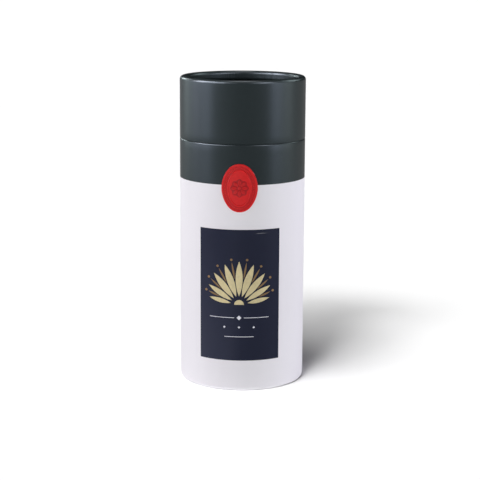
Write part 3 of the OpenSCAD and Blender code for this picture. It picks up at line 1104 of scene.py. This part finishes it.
def make_seal():
    insets = list(SEAL_INSETS)
    line = oval_line(insets[-1], SEAL_STEPS)
    rings = [oval_line(inset, SEAL_STEPS) for inset in insets]
    inner = SEAL_INNER_RINGS
    rings += [[(x * k / inner, y * k / inner) for x, y in line] for k in range(inner - 1, 0, -1)]
    insets += [insets[-1] + 1.0] * (inner - 1)
    spots, inks = [], []
    for number, ring in enumerate(rings):
        for x, y in ring:
            height, ink = seal_height(insets[number], x, y)
            depth = SEAL_FIELD + SEAL_RELIEF * height
            depth -= SEAL_FIELD * 0.5 * (1 - eased(insets[number], -0.14, 0.14))
            spots.append((x, y, depth))
            inks.append(ink)
    spots.append((0.0, 0.0, SEAL_FIELD + SEAL_RELIEF))
    inks.append(0.35)
    back = len(spots)
    back_rings = rings[::SEAL_BACK_EVERY] + [rings[-1]]
    for ring in back_rings:
        spots += [(x, y, 0.0) for x, y in ring]
        inks += [0.0] * SEAL_STEPS
    spots.append((0.0, 0.0, 0.0))
    inks.append(0.0)
    faces = []
    for first, count, flip in ((0, len(rings), False), (back, len(back_rings), True)):
        for ring in range(count - 1):
            for step in range(SEAL_STEPS):
                after = (step + 1) % SEAL_STEPS
                a = first + ring * SEAL_STEPS
                face = (a + step, a + after, a + SEAL_STEPS + after, a + SEAL_STEPS + step)
                faces.append(face[::-1] if flip else face)
        last = first + (count - 1) * SEAL_STEPS
        tip = last + SEAL_STEPS
        for step in range(SEAL_STEPS):
            face = (last + step, last + (step + 1) % SEAL_STEPS, tip)
            faces.append(face[::-1] if flip else face)
    for step in range(SEAL_STEPS):
        after = (step + 1) % SEAL_STEPS
        faces.append((after, step, back + step, back + after))
    mesh = bpy.data.meshes.new("seal_board")
    mesh.from_pydata([tuple(part * MM for part in spot) for spot in spots], [], faces)
    attribute = mesh.attributes.new("ink", "FLOAT", "POINT")
    attribute.data.foreach_set("value", inks)
    lay_flat(mesh, SEAL_R, SEAL_Z)
    closed_and_outward(mesh)
    smooth(mesh, 60.0)
    mesh.materials.append(RED_SEAL)
    piece = new_object("seal_board", mesh)
    stands_for(piece, "oval_seal", "base")

    line = oval_line(BEAD_INSET, BEAD_LINE_STEPS)
    edges = [(i, (i + 1) % BEAD_LINE_STEPS) for i in range(BEAD_LINE_STEPS)]
    path = bpy.data.meshes.new("bead_line")
    path.from_pydata([(x * MM, y * MM, 0.0) for x, y in line], edges, [])
    beads = grown(
        "seal_beads", path, beads_tree(), Beads=BEADS, Bead_radius=BEAD_R * MM,
        Bead_height=BEAD_H * MM, Middle_height=SEAL_Z * MM, Lay_radius=(SEAL_R + SEAL_FIELD) * MM,
        Material=RED_SEAL,
    )
    return stands_for(beads, "oval_seal", "base")


# Kept solids of the frame

KEPT = {
    "base_tube": GREYBOARD, "neck_tube": GREYBOARD, "lid_tube": GREYBOARD,
    "base_disc": GREYBOARD, "lid_disc": GREYBOARD, "neck_lining": LINING_PAPER,
    "lid_lining": LINING_PAPER, "floor_paper": LINING_PAPER, "lid_ceiling_paper": LINING_PAPER,
    "underside_paper": WHITE_PAPER, "lid_top_paper": DARK_PAPER,
}


def paint_kept():
    for node, material in KEPT.items():
        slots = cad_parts[node].material_slots
        for slot in slots:
            slot.material = material
        if not slots:
            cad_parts[node].data.materials.append(material)


# Studio

def make_floor():
    """A wide round floor, which only its own suns light."""
    mesh = bpy.data.meshes.new("studio_floor")
    turns = [2 * math.pi * step / FLOOR_STEPS for step in range(FLOOR_STEPS)]
    spots = [(FLOOR_R * math.cos(turn), FLOOR_R * math.sin(turn), 0.0) for turn in turns]
    mesh.from_pydata(spots, [], [tuple(range(FLOOR_STEPS))])
    material, _, shader, _ = finish_sheet("studio_floor", 1.0, 0.0)
    shader.inputs["Base Color"].default_value = (FLOOR_GREY, FLOOR_GREY, FLOOR_GREY, 1.0)
    mesh.materials.append(material)
    floor = new_object("studio_floor", mesh)
    floor.visible_glossy = False
    return floor


def group_of(name, things):
    group = bpy.data.collections.new(name)
    for thing in things:
        group.objects.link(thing)
    return group


def round_tube(azimuth, elevation):
    """The way from the tube to a light: azimuth 0 is the front and 90 the right side."""
    turn, tilt = math.radians(azimuth), math.radians(elevation)
    level = math.cos(tilt)
    return Vector((math.sin(turn) * level, -math.cos(turn) * level, math.sin(tilt)))


def stand_light(data, place, away, lit):
    """A light at a place, which shines against the direction away and only on the lit group."""
    light = new_object(data.name, data)
    light.location = place
    light.rotation_euler = away.to_track_quat("Z", "Y").to_euler()
    light.visible_camera = False
    light.light_linking.receiver_collection = lit
    return light


def panel(name, size, watts, colour=PLAIN):
    data = bpy.data.lights.new(name, "AREA")
    data.shape = "RECTANGLE"
    data.size, data.size_y = size
    data.energy = watts
    data.color = colour
    return data


def softbox(name, azimuth, elevation, size, watts, colour, lit):
    away = round_tube(azimuth, elevation)
    return stand_light(panel(name, size, watts, colour), TUBE_MIDDLE + away * SOFTBOX_AWAY, away, lit)


def floor_sun(name, azimuth, elevation, share, lit):
    """One of the suns that light the floor alone; the shares of all of them make it white."""
    data = bpy.data.lights.new(name, "SUN")
    data.angle = math.radians(SUN_WIDTH)
    data.energy = FLOOR_LIGHT * share / math.sin(math.radians(elevation))
    away = round_tube(azimuth, elevation)
    stand_light(data, TUBE_MIDDLE + away * SUN_AWAY, away, lit)


def label_glints(lit):
    """What only the label mirrors: a small high light on its buckle, and the floor on the left."""
    glint = softbox(
        "buckle_glint", BUCKLE_AZIMUTH, BUCKLE_ELEVATION, SMALL, BUCKLE_WATTS, PLAIN, lit
    )
    floor_glow = panel("floor_sheen", SHEEN_SIZE, SHEEN_WATTS)
    sheen = stand_light(floor_glow, SHEEN_PLACE, Vector((0, 0, -1)), lit)
    for light in (glint, sheen):
        light.visible_diffuse = False


def make_room():
    """The room round the tube: white where the camera sees it, and seen dimmer in reflections.

    What glossy surfaces reflect of it is one patch, which fades out 45 degrees to either side of
    its azimuth, and at its top.
    """
    world = bpy.data.worlds.new("studio")
    world.use_nodes = True
    world.cycles_visibility.diffuse = False
    sheet = Sheet(world.node_tree)
    x, y, z = sheet.parts(sheet.add("ShaderNodeTexCoord"))
    turn = sheet.math("ARCTAN2", x, sheet.times(y, -1.0))
    off = sheet.minus(turn, math.radians(GLOW_AZIMUTH))
    off = sheet.math("ABSOLUTE", sheet.math("WRAP", off, math.pi, -math.pi))
    off = sheet.math("MINIMUM", off, math.pi / 4)
    across = sheet.math("COSINE", sheet.times(off, 2.0))
    across = sheet.math("MULTIPLY_ADD", across, 0.5, 0.5)
    below = sheet.smooth_step(z, GLOW_TOP + GLOW_FADE, GLOW_TOP)
    glow = sheet.times(sheet.times(across, below), GLOW_STRENGTH)
    seen = sheet.add("ShaderNodeLightPath")
    strength = sheet.math("MULTIPLY_ADD", seen, sheet.minus(ROOM_WHITE, glow), glow)
    room = world.node_tree.nodes["Background"]
    room.inputs["Color"].default_value = (*PLAIN, 1.0)
    world.node_tree.links.new(strength, room.inputs["Strength"])
    bpy.context.scene.world = world


def make_studio(floor):
    """Softboxes for the dark papers and for all that is paler, suns for the floor, and the room."""
    pieces = [o for o in bpy.data.objects if o.type == "MESH" and o != floor]
    dark = [piece for piece in pieces if piece.name in DARK_PIECES]
    pale = [piece for piece in pieces if piece.name not in DARK_PIECES]
    for name, lights, things in (("dark", DARK_BOXES, dark), ("pale", PALE_BOXES, pale)):
        group = group_of("lit_" + name, things)
        for row in lights:
            softbox(*row, group)
    label_glints(group_of("lit_label", [piece for piece in pale if piece.name == "label_paper"]))
    ground = group_of("lit_floor", [floor])
    for row in FLOOR_SUNS:
        floor_sun(*row, ground)
    make_room()


def place_camera():
    """A long lens a little above the box, turned just off the label's middle."""
    data = bpy.data.cameras.new("camera")
    data.sensor_fit = "HORIZONTAL"
    data.sensor_width = 36.0
    data.lens = CAMERA_LENS
    data.clip_start = 0.05
    data.clip_end = 50.0
    camera = new_object("camera", data)
    outward = Vector((math.sin(CAMERA_TURN), -math.cos(CAMERA_TURN), 0.0))
    level = Matrix.Rotation(CAMERA_YAW, 3, "Z") @ -outward
    right = level.cross(Vector((0.0, 0.0, 1.0)))
    ahead = level * math.cos(CAMERA_PITCH) - Vector((0.0, 0.0, math.sin(CAMERA_PITCH)))
    up = right.cross(ahead)
    side = right * math.cos(CAMERA_ROLL) + up * math.sin(CAMERA_ROLL)
    up = up * math.cos(CAMERA_ROLL) - right * math.sin(CAMERA_ROLL)
    pose = Matrix((side, up, -ahead)).transposed().to_4x4()
    pose.translation = outward * CAMERA_AWAY + Vector((0.0, 0.0, CAMERA_Z))
    camera.matrix_world = pose
    bpy.context.scene.camera = camera


place_camera()
make_lid_wrap()
make_collar()
make_base_wrap()
make_neck_cover()
make_label()
make_gold()
make_bronze()
make_pale()
make_seal()
paint_kept()
make_studio(make_floor())
bpy.context.scene.view_settings.view_transform = "Standard"
